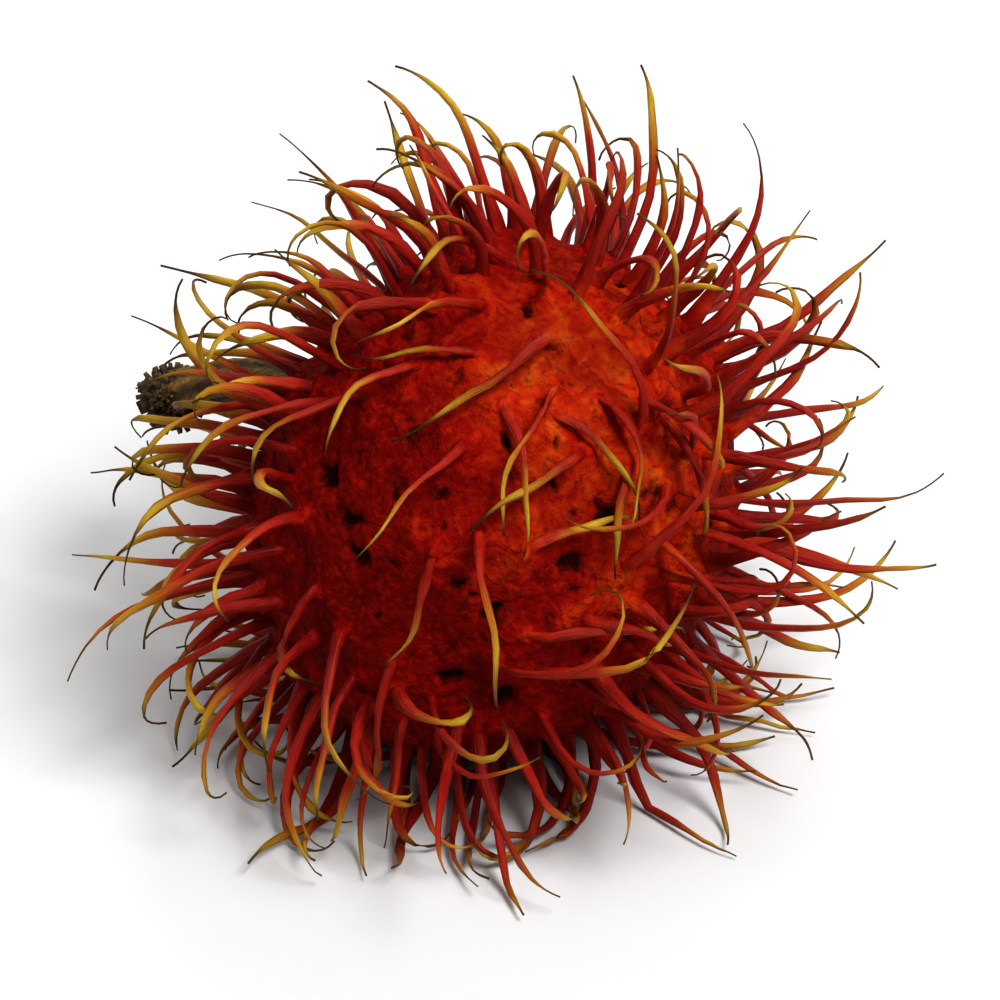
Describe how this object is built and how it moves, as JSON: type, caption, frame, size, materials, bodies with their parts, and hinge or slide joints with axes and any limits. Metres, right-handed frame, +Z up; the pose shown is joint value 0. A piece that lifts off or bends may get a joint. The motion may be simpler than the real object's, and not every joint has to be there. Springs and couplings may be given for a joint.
{
  "type": "rambutan",
  "caption": "Whole ripe rambutan lying on its side: a nearly round red rind bristling with long curling spinterns, with a short stub of stem.",
  "frame": {"origin": "on the table, at the middle of the small flat spot that the rind rests on", "axes": "+Z up, away from the table; the stem end points towards -X and rises by 14 degrees, and the blossom end points towards +X; the worn side, which has lost most of its spinterns, faces -Y and up"},
  "size_m": [0.0658, 0.0705, 0.051],
  "materials": {
    "rind": "satin",
    "stem": "matte"
  },
  "bodies": {
    "root": {"fruit": "rind", "stem_stub": "stem"}
  },
  "joints": []
}
